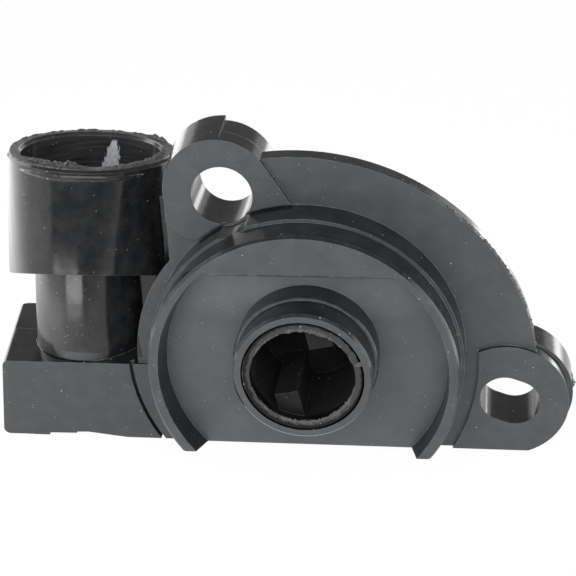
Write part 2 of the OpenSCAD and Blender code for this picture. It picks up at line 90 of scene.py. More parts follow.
class MouldingProps(bpy.types.PropertyGroup):
    """Colours and surface of the black mouldings."""
    plastic: FloatVectorProperty(name="Plastic", description="Colour of the housing's plastic",
        subtype="COLOR", size=3, min=0, max=1, default=(0.0125, 0.0135, 0.0150))
    # The matt faces are textured, and their paler colour is partly painted light from the front
    matt_lit_tone: FloatVectorProperty(name="Matt faces", description="Colour of the textured front faces",
        subtype="COLOR", size=3, min=0, max=1, default=(0.068, 0.0735, 0.079))
    # The edge colour is a painted highlight along sharp edges
    edge_highlight_tone: FloatVectorProperty(name="Rubbed edge", description="Colour of the plastic on rubbed edges",
        subtype="COLOR", size=3, min=0, max=1, default=(0.3, 0.305, 0.31))
    dust: FloatVectorProperty(name="Dust", description="Colour of the dust and glass specks",
        subtype="COLOR", size=3, min=0, max=1, default=(0.55, 0.55, 0.53))
    # Colour of a painted highlight: a lamp's reflection on the shroud's inner back wall
    inner_highlight: FloatVectorProperty(name="Scuff", description="Colour of the white scuff inside the shroud",
        subtype="COLOR", size=3, min=0, max=1, default=(0.62, 0.64, 0.68))
    matt: FloatProperty(name="Matt roughness", description="Roughness of the textured front faces",
        subtype="FACTOR", min=0, max=1, default=0.45)
    polish: FloatProperty(name="Polished sides", description="Roughness of the turned and polished surfaces",
        subtype="FACTOR", min=0, max=1, default=0.12)
    grain: FloatProperty(name="Grain", description="Height of the surface grain",
        subtype="DISTANCE", unit="LENGTH", min=0, default=0.004 * MM)


class FlashProps(bpy.types.PropertyGroup):
    """Thin ragged plastic that the mould left along its joints."""
    seed: IntProperty(name="Seed", description="Start of the random shapes", min=0, default=11)
    rim_height: FloatProperty(name="Rim crust", description="Height of the highest crust on the shroud's rim",
        subtype="DISTANCE", unit="LENGTH", min=0, default=0.75 * MM)
    burr_height: FloatProperty(name="Burrs", description="Height of the burrs round the rotor's mouth",
        subtype="DISTANCE", unit="LENGTH", min=0, default=0.16 * MM)
    fin_height: FloatProperty(name="Fins", description="Height of the fins on the flange and the ears",
        subtype="DISTANCE", unit="LENGTH", min=0, default=0.3 * MM)


class RotorProps(bpy.types.PropertyGroup):
    """Colours of the rotor."""
    plastic: FloatVectorProperty(name="Plastic", description="Colour of the rotor's plastic",
        subtype="COLOR", size=3, min=0, max=1, default=(0.006, 0.006, 0.0065))


class StudioProps(bpy.types.PropertyGroup):
    """Camera, lamps and floor."""
    camera_place: FloatVectorProperty(name="Camera", description="Where the camera stands",
        subtype="TRANSLATION", unit="LENGTH", size=3, default=(21.43 * MM, -167.63 * MM, 95.55 * MM))
    camera_pan: FloatProperty(name="Pan", description="Turn of the camera to the left",
        subtype="ANGLE", default=0.14242)
    camera_tilt: FloatProperty(name="Tilt", description="How far the camera looks down",
        subtype="ANGLE", default=0.48481)
    camera_roll: FloatProperty(name="Roll", description="Turn of the picture about the camera's own axis",
        subtype="ANGLE", default=-0.04629)
    focal_length: FloatProperty(name="Focal length", description="Focal length for a 36 mm wide sensor",
        subtype="DISTANCE_CAMERA", min=1, default=100)
    floor_size: FloatProperty(name="Floor", description="Width of the floor",
        subtype="DISTANCE", unit="LENGTH", min=0, default=4)
    floor_tone: FloatProperty(name="Floor tone", description="How pale the floor is",
        subtype="FACTOR", min=0, max=1, default=0.9)
    floor_reach: FloatProperty(name="Floor reach", description="How far the lit floor reaches to the front",
        subtype="DISTANCE", unit="LENGTH", min=0, default=0.1)
    room: FloatProperty(name="Room light", description="Strength of the light from all round",
        min=0, default=0.28)
    left_floor: FloatProperty(name="Left floor", description="Extra glow of the floor's left in gloss",
        min=0, default=1.7)
    right_floor: FloatProperty(name="Right floor", description="Extra glow of the floor's right in gloss",
        min=0, default=4.0)
    left_panel: FloatProperty(name="Left panel", description="Brightness of the left panel's back end",
        min=0, default=3.4)
    right_lamp: FloatProperty(name="Right lamp", description="Brightness of the upright lamp on the right",
        min=0, default=2.0)
    glint_lamp: FloatProperty(name="Glint lamp", description="Brightness of the lamp that glints on the neck",
        min=0, default=12.0)
    top_lamp: FloatProperty(name="Top lamp", description="Brightness of the lamp above and in front",
        min=0, default=2.4)


# Shader helpers

def new_finish(name):
    """A material with an empty node tree."""
    finish = bpy.data.materials.new(name)
    finish.use_nodes = True
    finish.node_tree.nodes.clear()
    return finish


def add_node(tree, kind, settings=None, **sockets):
    """Adds a node. A socket takes a plain value or another node's output."""
    node = tree.nodes.new(kind)
    for key, value in (settings or {}).items():
        setattr(node, key, value)
    for key, value in sockets.items():
        by_number = key[0] == "i" and key[1:].isdigit()
        socket = node.inputs[int(key[1:]) if by_number else key.replace("_", " ")]
        if isinstance(value, bpy.types.NodeSocket):
            tree.links.new(value, socket)
        else:
            socket.default_value = value
    return node


def math_node(tree, operation, a, b=0.0, clamp=False):
    """One step of arithmetic. Clamped, it stays between 0 and 1."""
    settings = {"operation": operation, "use_clamp": clamp}
    return add_node(tree, "ShaderNodeMath", settings, i0=a, i1=b).outputs[0]


def both(tree, *masks):
    """The product of several masks."""
    whole = masks[0]
    for mask in masks[1:]:
        whole = math_node(tree, "MULTIPLY", whole, mask)
    return whole


def outside(tree, mask):
    """One where the mask is 0, and 0 where it is one."""
    return math_node(tree, "SUBTRACT", 1.0, mask)


def add_share(tree, value, mask, share):
    """The value with a share of the mask added, kept between 0 and 1."""
    return math_node(tree, "ADD", value, math_node(tree, "MULTIPLY", mask, share), True)


def shade(colour, factor=1.0):
    """The colour made darker or paler, with its alpha."""
    return (*[min(1, c * factor) for c in colour], 1)


def blend_colour(tree, factor, a, b):
    """Colour a where the factor is 0, and b where it is 1."""
    node = add_node(tree, "ShaderNodeMix", {"data_type": "RGBA"}, i0=factor, i6=a, i7=b)
    return node.outputs[2]


def remap(tree, value, low, high, new_low=0.0, new_high=1.0):
    """Clamped. With the high end below the low end it runs the other way."""
    if low > high:
        low, high, new_low, new_high = high, low, new_high, new_low
    return add_node(tree, "ShaderNodeMapRange", None, Value=value, From_Min=low, From_Max=high,
                    To_Min=new_low, To_Max=new_high).outputs[0]


def vector_math(tree, operation, a, b=(0, 0, 0)):
    """One step with vectors. The caller takes the output that the step fills."""
    return add_node(tree, "ShaderNodeVectorMath", {"operation": operation}, i0=a, i1=b)


def tower_place(tree, place):
    """Height above the tower's foot and distance from its leaning axis."""
    from_foot = vector_math(tree, "SUBTRACT", place, tuple(TOWER_FOOT)).outputs[0]
    height = vector_math(tree, "DOT_PRODUCT", from_foot, tuple(TOWER_AXIS)).outputs["Value"]
    off_axis = vector_math(tree, "CROSS_PRODUCT", from_foot, tuple(TOWER_AXIS)).outputs[0]
    return height, vector_math(tree, "LENGTH", off_axis).outputs["Value"]


def off_turning_axis(tree, x, z, centre=(0, 0, 0)):
    """Distance from an axis along Y through the centre."""
    across = add_node(tree, "ShaderNodeCombineXYZ", None, X=x, Z=z).outputs[0]
    from_centre = vector_math(tree, "SUBTRACT", across, centre).outputs[0]
    return vector_math(tree, "LENGTH", from_centre).outputs["Value"]


def scaled(tree, vector, factor):
    """A vector or a colour times one value."""
    settings = {"operation": "SCALE"}
    return add_node(tree, "ShaderNodeVectorMath", settings, i0=vector, Scale=factor).outputs[0]


def millimetres(tree):
    """The point on the part, counted in millimetres."""
    return scaled(tree, add_node(tree, "ShaderNodeTexCoord").outputs["Object"], 1 / MM)


def noise(tree, place, per_mm, detail=3.0, stretch=None, roughness=0.5):
    """Cloudy noise from 0 to 1. Stretch factors under 1 draw it out along that axis."""
    if stretch:
        place = stretched(tree, place, stretch)
    return add_node(tree, "ShaderNodeTexNoise", None, Vector=place, Scale=per_mm, Detail=detail,
                    Roughness=roughness).outputs[0]


def stretched(tree, place, factors):
    """The place with each axis counted by its own factor."""
    return vector_math(tree, "MULTIPLY", place, factors).outputs[0]


def split(tree, place):
    """X, Y and Z of the place."""
    return add_node(tree, "ShaderNodeSeparateXYZ", None, Vector=place).outputs


def specks(tree, place, per_mm, share, size):
    """Small round spots: a `share` of the cells has one, with `size` of a cell as its radius."""
    cells = add_node(tree, "ShaderNodeTexVoronoi", {"feature": "F1"}, Vector=place, Scale=per_mm,
                     Randomness=1.0)
    near = math_node(tree, "LESS_THAN", cells.outputs["Distance"], size)
    pick = add_node(tree, "ShaderNodeSeparateColor", None, Color=cells.outputs["Color"]).outputs[0]
    return math_node(tree, "MULTIPLY", near, math_node(tree, "LESS_THAN", pick, share))


def sharp_edges(tree, radius):
    """One at sharp edges and 0 on flats, and the softened normal."""
    soft = add_node(tree, "ShaderNodeBevel", {"samples": 6}, Radius=radius).outputs[0]
    flat = add_node(tree, "ShaderNodeNewGeometry").outputs["Normal"]
    same = vector_math(tree, "DOT_PRODUCT", soft, flat).outputs["Value"]
    return remap(tree, same, 0.995, 0.80), soft


def seen_ray(tree):
    """One for rays from the camera and those that gloss and glass send on, and 0 for light on the part."""
    ray = add_node(tree, "ShaderNodeLightPath").outputs
    sent_on = math_node(tree, "MAXIMUM", ray["Is Glossy Ray"], ray["Is Transmission Ray"])
    return math_node(tree, "MAXIMUM", ray["Is Camera Ray"], sent_on)


# Finishes

def close_finish(tree, shown, gloss, bump, **sockets):
    """The shader of a solid piece, from its colour, its roughness and its bumps."""
    shader = add_node(tree, "ShaderNodeBsdfPrincipled", None, Base_Color=shown, Roughness=gloss,
                      Normal=bump.outputs[0], **sockets)
    add_node(tree, "ShaderNodeOutputMaterial", None, Surface=shader.outputs[0])


def moulded_finish(name, colours, dust, roughness, grain, dustiness=1.0, marks=None, polished=None,
                   flat_zone=None, front_tone=None, ior=1.52):
    """Glass-filled moulding: matt textured fronts, polished sides, cloudy gloss, a painted highlight on sharp
    edges, and dust.

    `colours` are those of the polished plastic, the matt fronts, whose paler colour is partly painted front
    light, and the painted edge highlight, and `roughness` is that of the matt and the polished. `marks` adds
    the marks of one piece to colour and roughness, `polished` says where a front stays polished, `flat_zone`
    where a face is shaded as quite flat, and `front_tone` the painted light and shade that scale the matt
    tone from place to place."""
    finish = new_finish(name)
    tree = finish.node_tree
    place = millimetres(tree)
    colour, matt_lit_tone, edge_highlight_tone = colours
    matt, polish = roughness
    edge, soft = sharp_edges(tree, 0.13 * MM)
    facing = add_node(tree, "ShaderNodeNewGeometry").outputs["Normal"]
    front = vector_math(tree, "DOT_PRODUCT", facing, FORWARD).outputs["Value"]
    if flat_zone:
        flat = both(tree, flat_zone(tree, place), remap(tree, front, 0.96, 0.97))
        edge = both(tree, edge, outside(tree, flat))
        soft = add_node(tree, "ShaderNodeMix", {"data_type": "VECTOR"}, i0=flat, i4=soft,
                        i5=FORWARD).outputs[1]
    front = remap(tree, front, 0.9, 0.97)
    if polished:
        front = both(tree, front, outside(tree, polished(tree, place)))
    clouds = noise(tree, place, 0.12, 4.0)
    fine = noise(tree, place, 5.0, 3.0)
    film = remap(tree, noise(tree, place, 0.45, 5.0, roughness=0.6), 0.42, 0.72, 0.0, 0.035 * dustiness)
    # Sharp edges get a patchy painted highlight
    edge_highlight = both(tree, edge, remap(tree, noise(tree, place, 0.9, 4.0), 0.35, 0.65, 0.1, 0.8))
    tinted = blend_colour(tree, remap(tree, clouds, 0.3, 0.7), shade(colour, 0.85), shade(colour, 1.15))
    # Front faces are textured, and painted paler as a stand-in for the front light they catch
    mottled = blend_colour(tree, remap(tree, noise(tree, place, 0.35, 5.0, roughness=0.6), 0.35, 0.65),
                           shade(matt_lit_tone, 0.93), shade(matt_lit_tone, 1.07))
    if front_tone:
        mottled = scaled(tree, mottled, front_tone(tree, place))
    shown = blend_colour(tree, front, tinted, mottled)
    shown = blend_colour(tree, film, shown, shade(dust))
    # Edges take the painted highlight colour
    shown = blend_colour(tree, edge_highlight, shown, shade(edge_highlight_tone))
    spots = math_node(tree, "MAXIMUM", specks(tree, place, 0.9, 0.09 * dustiness, 0.08),
                      specks(tree, place, 2.6, 0.05 * dustiness, 0.14))
    fibre = specks(tree, stretched(tree, place, (1.0, 1.0, 5.0)), 0.9, 0.03 * dustiness, 0.12)
    specked = math_node(tree, "MAXIMUM", spots, math_node(tree, "MULTIPLY", fibre, 0.5), True)
    gloss = remap(tree, front, 0.0, 1.0, polish, matt)
    gloss = math_node(tree, "ADD", gloss, remap(tree, clouds, 0.25, 0.75, -0.04, 0.05))
    gloss = add_share(tree, gloss, fine, 0.04)
    rough = 0.0
    if marks:
        shown, gloss, rough = marks(tree, place, shown, gloss)
    shown = blend_colour(tree, math_node(tree, "MULTIPLY", specked, 0.8), shown, shade(dust))
    height = math_node(tree, "ADD", fine, math_node(tree, "MULTIPLY", noise(tree, place, 0.5, 2.0), 3.0))
    height = math_node(tree, "ADD", height, rough)
    bump = add_node(tree, "ShaderNodeBump", None, Strength=1.0, Distance=grain, Height=height, Normal=soft)
    close_finish(tree, shown, gloss, bump, IOR=ior)
    return finish


def on_tower(tree, place):
    """One on the neck and the shroud, which are polished all round."""
    height, off_axis = tower_place(tree, place)
    return both(tree, remap(tree, height, 0.02, 0.05), remap(tree, off_axis, SHROUD_R + 0.5, SHROUD_R + 0.4))


def deep_in_rotor(tree, place):
    """One behind the rotor's mouth, where it has no matt face."""
    return remap(tree, split(tree, place)[1], ROTOR_FRONT + 0.8, ROTOR_FRONT + 1.0)


def housing_marks(inner_highlight):
    """Marks of the housing: the shroud's crusty rim, its dusty inside with drawn lines, and a painted
    highlight on the back wall.
    """
    def marks(tree, place, shown, gloss):
        height, off_axis = tower_place(tree, place)
        # Rim: cut and crusty
        rim = both(tree, remap(tree, height, TOWER_HEIGHT - 0.14, TOWER_HEIGHT - 0.02),
                   remap(tree, off_axis, SHROUD_R + 1.0, SHROUD_R + 0.5))
        crumbs = noise(tree, place, 2.2, 5.0, roughness=0.7)
        crust = both(tree, rim, remap(tree, crumbs, 0.45, 0.75, 0.0, 0.5))
        shown = blend_colour(tree, crust, shown, shade(RIM_CRUST))
        gloss = add_share(tree, gloss, rim, 0.3)
        # Inside: lines that follow the plug's way in
        inside = both(tree, remap(tree, off_axis, SOCKET_R + 0.3, SOCKET_R + 0.15),
                      remap(tree, height, TOWER_HEIGHT - PLUG_DEPTH - 0.2, TOWER_HEIGHT - PLUG_DEPTH + 0.2))
        lines = noise(tree, place, 0.8, 4.0, (0.25, 0.25, 4.0), 0.65)
        drawn = both(tree, inside, remap(tree, lines, 0.35, 0.7, 0.2, 1.0))
        shown = blend_colour(tree, drawn, shown, shade(PLUG_LINES))
        # Painted highlight on the back wall, a lamp's reflection, leaning and ragged
        x, y, z = split(tree, place)
        middle = math_node(tree, "ADD", math_node(tree, "MULTIPLY", z, HIGHLIGHT_LEAN), HIGHLIGHT_X)
        half = remap(tree, z, HIGHLIGHT_FOOT + 1.8, HIGHLIGHT_TIP, 1.05, 0.3)
        aside = math_node(tree, "ABSOLUTE", math_node(tree, "SUBTRACT", x, middle))
        across = math_node(tree, "DIVIDE", aside, half)
        ragged = remap(tree, noise(tree, place, 1.6, 5.0, (2.0, 1.0, 0.6), 0.7), 0.0, 1.0, -1.2, 1.2)
        highlight_patch = both(tree, remap(tree, math_node(tree, "ADD", across, ragged), 1.1, 0.85), inside,
                     remap(tree, y, 17.5, 18.0), remap(tree, z, HIGHLIGHT_FOOT, HIGHLIGHT_FOOT + 0.8),
                     remap(tree, z, HIGHLIGHT_TIP - 0.1, HIGHLIGHT_TIP - 0.5))
        streaks = noise(tree, place, 4.0, 4.0, (2.0, 1.0, 0.5))
        highlight_patch = both(tree, highlight_patch, remap(tree, streaks, 0.3, 0.6, 0.55, 1.0))
        shown = blend_colour(tree, highlight_patch, shown, shade(inner_highlight))
        gloss = add_share(tree, gloss, highlight_patch, 0.4)
        rough = math_node(tree, "MULTIPLY", both(tree, rim, crumbs), 25.0)
        return shown, gloss, rough
    return marks


def recess_floor(tree, place):
    """One above the hub, on the flat floor inside the collar and on the thin wedge that stands on it."""
    _, y, z = split(tree, place)
    return both(tree, remap(tree, y, DRUM_FRONT - 0.85, DRUM_FRONT - 0.75),
                remap(tree, y, DRUM_FRONT + 0.1, DRUM_FRONT + 0.05),
                remap(tree, z, 10.5, 11.0), remap(tree, z, 16.0, 15.8))


def housing_painted_light(tree, place):
    """Share of the matt tone, with painted light and shade: paler on the recess floor, darker on the wedge
    above the hub, and less on the block.
    """
    x, y, z = split(tree, place)
    off_drum = off_turning_axis(tree, x, z, (DRUM_X, 0, DRUM_Z))
    off_hub = off_turning_axis(tree, x, z)
    inside = both(tree, remap(tree, off_drum, RECESS_R, RECESS_R - 0.4),
                  remap(tree, y, DRUM_FRONT + 0.1, DRUM_FRONT + 0.02),
                  remap(tree, y, DRUM_FRONT - 1.0, DRUM_FRONT - 0.9))
    # The floor lies in the collar's shade above the hub, most of all next to it.
    # A paler tone there is painted light that makes up for that
    shaded = both(tree, remap(tree, z, 4.0, 11.0), remap(tree, off_hub, 18.0, 10.0, 0.4, 1.6))
    # Painted light: the recess floor's tone is raised all over, and more above the hub
    floor = math_node(tree, "ADD", shaded, 1.35)
    # Painted shade: the tilted wedge catches more light, so its tone is lowered to match the floor
    wedge = 0.64
    tone = remap(tree, y, DRUM_FRONT - 0.02, DRUM_FRONT - 0.06, floor, wedge)
    tone = remap(tree, inside, 0.0, 1.0, 1.0, tone)
    block = remap(tree, x, -21.0, -17.0, 0.78, 1.0)
    return both(tree, tone, block)


def rotor_marks(tree, place, shown, gloss):
    """Marks of the rotor: a pale rubbed rim at its mouth, painted shade round its outer edge, and a dull,
    dirty socket.
    """
    x, y, z = split(tree, place)
    mouth = remap(tree, y, ROTOR_FRONT + 0.5, ROTOR_FRONT + 0.2)
    # Painted shade in the gap round the mouth: the rotor's outer edge is painted near black, ragged, and
    # wider at its lower left
    ragged = remap(tree, noise(tree, place, 1.4, 4.0, roughness=0.7), 0.3, 0.7, -0.3, 0.15)
    reach = remap(tree, math_node(tree, "ADD", x, z), -8.0, 8.0, ROTOR_R - 0.4, ROTOR_R - 0.05)
    away = math_node(tree, "SUBTRACT", off_turning_axis(tree, x, z), math_node(tree, "ADD", ragged, reach))
    gap = both(tree, mouth, remap(tree, away, -0.03, 0.03))
    crumbs = noise(tree, place, 2.5, 5.0, roughness=0.7)
    rubbed = both(tree, mouth, remap(tree, crumbs, 0.35, 0.65, 0.2, 0.9))
    shown = blend_colour(tree, rubbed, shown, shade(RUBBED_MOUTH))
    deep = remap(tree, y, ROTOR_FRONT + 1.0, ROTOR_FRONT + 2.0)
    dirt = both(tree, deep, remap(tree, noise(tree, place, 0.7, 5.0, roughness=0.65), 0.45, 0.7, 0.0, 0.5))
    shown = blend_colour(tree, dirt, shown, shade(SOCKET_DIRT))
    # The rotor's outer edge takes the painted shade
    shown = blend_colour(tree, gap, shown, shade(PAINTED_GAP_SHADE))
    gloss = add_share(tree, gloss, deep, 0.88)
    return shown, gloss, 0.0


def metal_finish(name, colour, roughness, streak):
    """Drawn or rolled metal with fine streaks and a little tarnish."""
    finish = new_finish(name)
    tree = finish.node_tree
    place = millimetres(tree)
    lines = noise(tree, place, 2.0, 3.0, streak)
    tarnish = noise(tree, place, 0.8, 4.0)
    shown = blend_colour(tree, remap(tree, tarnish, 0.35, 0.75, 0.0, 0.5), shade(colour), shade(colour, 0.55))
    gloss = remap(tree, lines, 0.3, 0.7, roughness - 0.06, roughness + 0.1)
    bump = add_node(tree, "ShaderNodeBump", None, Strength=0.6, Distance=0.006 * MM, Height=lines)
    close_finish(tree, shown, gloss, bump, Metallic=1.0)
    return finish


def plain_finish(name, colour, roughness, grain_per_mm, contrast, height):
    """Board, washer, resin, ink and rubber: a mottled colour with its own grain."""
    finish = new_finish(name)
    tree = finish.node_tree
    place = millimetres(tree)
    mottle = noise(tree, place, grain_per_mm, 4.0)
    shown = blend_colour(tree, remap(tree, mottle, 0.3, 0.7), shade(colour, 1 - contrast),
                         shade(colour, 1 + contrast))
    gloss = remap(tree, mottle, 0.3, 0.7, roughness - 0.07, roughness + 0.07)
    bump = add_node(tree, "ShaderNodeBump", None, Strength=1.0, Distance=height, Height=mottle)
    close_finish(tree, shown, gloss, bump)
    return finish


def dress(node, finish):
    """Gives a CAD node its finish."""
    mesh = NODES[node].data
    mesh.materials.clear()
    mesh.materials.append(finish)


# Mesh helpers: points are in millimetres

def tower_point(angle, radius, height):
    """A point on the leaning tower. The angle runs from its front towards the drum, in degrees."""
    turn = math.radians(angle)
    return TOWER_FOOT + TOWER_TURN @ Vector((radius * math.sin(turn), -radius * math.cos(turn), height))


def ring_point(centre_x, centre_z, radius, angle, y):
    """A point on a circle about an axis along Y. The angle runs from +X towards +Z, in degrees."""
    turn = math.radians(angle)
    return Vector((centre_x + radius * math.cos(turn), y, centre_z + radius * math.sin(turn)))


def outward(angles):
    """The ways out from an axis along Y at these angles."""
    return [ring_point(0, 0, 1, a, 0) for a in angles]


def along(values, share):
    """The value at a share of the way along, between the listed (share, value) pairs."""
    for (a, low), (b, high) in zip(values, values[1:]):
        if share <= b:
            return low + (high - low) * (share - a) / (b - a)
    return values[-1][1]


def ragged_ridge(name, path, out, width, height, seed, finish, body, raggedness=0.35, clump=0.6,
                 smooth=False):
    """Crumbly ridge of flash along a path: five-sided, uneven, and closed at both ends.

    `out` gives the direction that the ridge stands in at each point, and `width` and `height` are
    lists of (share of the way, millimetres)."""
    chance = random.Random(seed)
    points, faces = [], []
    count, sides = len(path), len(RIDGE_PROFILE)
    for i, middle in enumerate(path):
        share = i / (count - 1)
        ahead = (path[min(i + 1, count - 1)] - path[max(i - 1, 0)]).normalized()
        up = out[i].normalized()
        across = up.cross(ahead).normalized()
        lump = 1 + clump * (1.6 * perlin.noise(middle * 1.1 + Vector((seed, 0, 0)))
                            + 0.9 * perlin.noise(middle * 3.1 + Vector((0, seed, 0))))
        tall = max(along(height, share) * lump, 0.01)
        half = max(along(width, share) * (0.6 + 0.4 * lump), 0.015) / 2
        for side, rise in RIDGE_PROFILE:
            jitter = 1 + chance.uniform(-raggedness, raggedness)
            lift = 1 + chance.uniform(-raggedness, raggedness) / 2
            points.append((middle + across * side * half * jitter + up * tall * rise * lift) * MM)
    for i in range(count - 1):
        for k in range(sides):
            a, b = sides * i + k, sides * i + (k + 1) % sides
            faces.append((a, b, b + sides, a + sides))
    faces.append(tuple(range(sides - 1, -1, -1)))
    faces.append(tuple(range(sides * (count - 1), sides * count)))
    mesh = bpy.data.meshes.new(name)
    mesh.from_pydata(points, [], faces)
    mesh.validate()
    mesh.materials.append(finish)
    if smooth:
        mesh.shade_smooth()
    piece = bpy.data.objects.new(name, mesh)
    bpy.context.scene.collection.objects.link(piece)
    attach(piece, body)


def spread(first, last, count):
    """Evenly spaced values, both ends among them."""
    return [first + (last - first) * i / (count - 1) for i in range(count)]


def studio_sheet(name, corners, finish):
    """A flat four-cornered sheet of the studio."""
    mesh = bpy.data.meshes.new(name)
    mesh.from_pydata(corners, [], [(0, 1, 2, 3)])
    mesh.materials.append(finish)
    sheet = bpy.data.objects.new(name, mesh)
    bpy.context.scene.collection.objects.link(sheet)
    return sheet


# Operators

class SENSOR_OT_mouldings(bpy.types.Operator):
    """Finishes the housing and its rear cover"""
    bl_idname = "sensor.mouldings"
    bl_label = "Mouldings"

    def execute(self, context):
        props = context.scene.sensor_moulding
        colours = (props.plastic, props.matt_lit_tone, props.edge_highlight_tone)
        dress("housing", moulded_finish(
            "housing_plastic", colours, props.dust, (props.matt, props.polish), props.grain,
            marks=housing_marks(props.inner_highlight), polished=on_tower, flat_zone=recess_floor,
            front_tone=housing_painted_light))
        dress("rear_cover", moulded_finish(
            "cover_plastic", colours, props.dust, (props.matt, props.polish + 0.15), props.grain,
            dustiness=0.6))
        return {"FINISHED"}


class SENSOR_OT_rotor(bpy.types.Operator):
    """Finishes the rotor"""
    bl_idname = "sensor.rotor"
    bl_label = "Rotor"

    def execute(self, context):
        props = context.scene.sensor_rotor
        moulding = context.scene.sensor_moulding
        # The rotor takes darker copies of the painted front light and of the painted edge highlight
        colours = (props.plastic, shade(moulding.matt_lit_tone, 0.6)[:3], shade(moulding.edge_highlight_tone, 0.5)[:3])
        dress("rotor", moulded_finish(
            "rotor_plastic", colours, moulding.dust, (moulding.matt, moulding.polish), moulding.grain,
            dustiness=0.5, marks=rotor_marks, polished=deep_in_rotor, ior=1.36))
        return {"FINISHED"}


class SENSOR_OT_flash(bpy.types.Operator):
    """Adds the ragged flash on the shroud's rim, the ears, the flange and the rotor's mouth"""
    bl_idname = "sensor.flash"
    bl_label = "Moulding flash"

    def execute(self, context):
        props = context.scene.sensor_flash
        plastic = NODES["housing"].data.materials[0]
        if plastic is None:
            self.report({"ERROR"}, "The housing has no finish yet")
            raise RuntimeError("the mouldings come before the flash")
        pale = plain_finish("flash_plastic", (0.09, 0.089, 0.085), roughness=0.5, grain_per_mm=5.0,
                            contrast=0.5, height=0.02 * MM)
        self.rim(props, pale, plastic)
        self.ears(props, pale, plastic)
        self.flange(props, pale)
        self.rotor_mouth(props, pale)
        return {"FINISHED"}

    def rim(self, props, pale, plastic):
        """The crust on the shroud's rim, and the soft lip under its front."""
        top = TOWER_HEIGHT - 0.1
        tall = props.rim_height / MM

        def crust(name, first, last, radius, count, width, height, seed, clump=0.6):
            path = [tower_point(a, radius, top) for a in spread(first, last, count)]
            ragged_ridge(name, path, [TOWER_AXIS] * count, width, height, props.seed + seed, pale,
                         "body", 0.3, clump)

        crust("rim_crust_left", -52, 16, SOCKET_R + 0.3, 80,
              [(0, 0.4), (0.35, 1.0), (0.6, 1.4), (0.85, 0.9), (1, 0.3)],
              [(0, 0.08), (0.25, 0.4 * tall), (0.45, 0.9 * tall), (0.7, 0.8 * tall), (1, 0.1)], 1)
        crust("rim_crust_right", 15, 110, SOCKET_R + 0.35, 90,
              [(0, 0.4), (0.3, 0.9), (0.7, 0.9), (1, 0.4)],
              [(0, 0.08), (0.4, 0.34 * tall), (0.8, 0.3 * tall), (1, 0.08)], 2)
        crust("rim_crust_outer", -100, 85, SHROUD_R - 0.5, 120,
              [(0, 0.3), (0.5, 0.5), (1, 0.3)], [(0, 0.06), (0.5, 0.16), (1, 0.06)], 3, 0.8)
        crust("rim_crust_back", 88, 268, SHROUD_R - 0.4, 120,
              [(0, 0.4), (0.3, 0.6), (0.7, 0.5), (1, 0.35)],
              [(0, 0.3 * tall), (0.25, 0.4 * tall), (0.45, 0.16 * tall), (0.7, 0.22 * tall),
               (1, 0.14 * tall)], 4, 0.9)
        angles = spread(-44, 50, 80)
        lip = [tower_point(a, SHROUD_R - 0.03, TOWER_HEIGHT - 1.1 + 0.06 * math.sin(a / 7))
               for a in angles]
        out = [tower_point(a, 1, 0) - TOWER_FOOT for a in angles]
        ragged_ridge("rim_lip", lip, out, [(0, 0.4), (0.3, 1.0), (0.7, 0.8), (1, 0.4)],
                     [(0, 0.03), (0.4, 0.12), (0.7, 0.1), (1, 0.03)], props.seed + 13,
                     plastic, "body", 0.02, 0.15, smooth=True)

    def ears(self, props, pale, plastic):
        """The clump and the fin on the upper ear, and the nib on the side ear."""
        tall = props.fin_height / MM
        angles = spread(122, 160, 34)
        path = [ring_point(EAR_X, EAR_Z, EAR_R + 0.02, a, EAR_BACK - 0.25) for a in angles]
        ragged_ridge("ear_flash", path, outward(angles), [(0, 0.3), (0.5, 0.7), (1, 0.4)],
                     [(0, 0.05), (0.4, 0.5 * tall), (0.7, 0.8 * tall), (1, 0.2 * tall)], props.seed + 5,
                     plastic, "body", 0.15, 0.5)
        seam = [Vector((EAR_X + 0.25 - 0.06 * i, 2.4 + 0.3 * i, EAR_Z + EAR_R - 0.02)) for i in range(15)]
        ragged_ridge("ear_seam_fin", seam, [Vector((0, 0, 1))] * len(seam), [(0, 0.12), (1, 0.28)],
                     [(0, 0.2 * tall), (0.6, 0.5 * tall), (1, 1.1 * tall)], props.seed + 6, pale,
                     "body", 0.4, 0.5)
        angles = spread(-8, 12, 18)
        path = [ring_point(SIDE_EAR_X + 0.5, SIDE_EAR_Z, SIDE_EAR_R, a, 4.6) for a in angles]
        ragged_ridge("side_ear_nib", path, outward(angles), [(0, 0.3), (0.5, 1.0), (1, 0.3)],
                     [(0, 0.05), (0.35, 1.1 * tall), (0.7, 0.9 * tall), (1, 0.05)], props.seed + 7, plastic,
                     "body", 0.45, 0.6)

    def flange(self, props, pale):
        """The fin along the flange's front edge, which leans to the front."""
        tall = props.fin_height / MM
        angles = spread(13, 62, 150)
        path = [ring_point(FLANGE_X, FLANGE_Z, FLANGE_R - 0.05, a, FLANGE_FRONT + 0.35) for a in angles]
        out = [way + 0.6 * Vector(FORWARD) for way in outward(angles)]
        ragged_ridge("flange_fin", path, out, [(0, 0.5), (1, 0.3)],
                     [(0, 0.5 * tall), (0.25, 0.75 * tall), (0.6, 0.3 * tall), (1, 0.08 * tall)],
                     props.seed + 8, pale, "body", 0.5, 0.9)

    def rotor_mouth(self, props, pale):
        """The burrs round the rotor's socket and its outer edge, and the bridge to the hub."""
        tall = props.burr_height / MM
        front = Vector(FORWARD)

        def burr(name, first, last, radius, count, width, height, seed, clump=0.8):
            path = [ring_point(0, 0, radius, a, ROTOR_FRONT + 0.1) for a in spread(first, last, count)]
            ragged_ridge(name, path, [front] * count, width, height, props.seed + seed, pale,
                         "rotor", 0.45, clump)

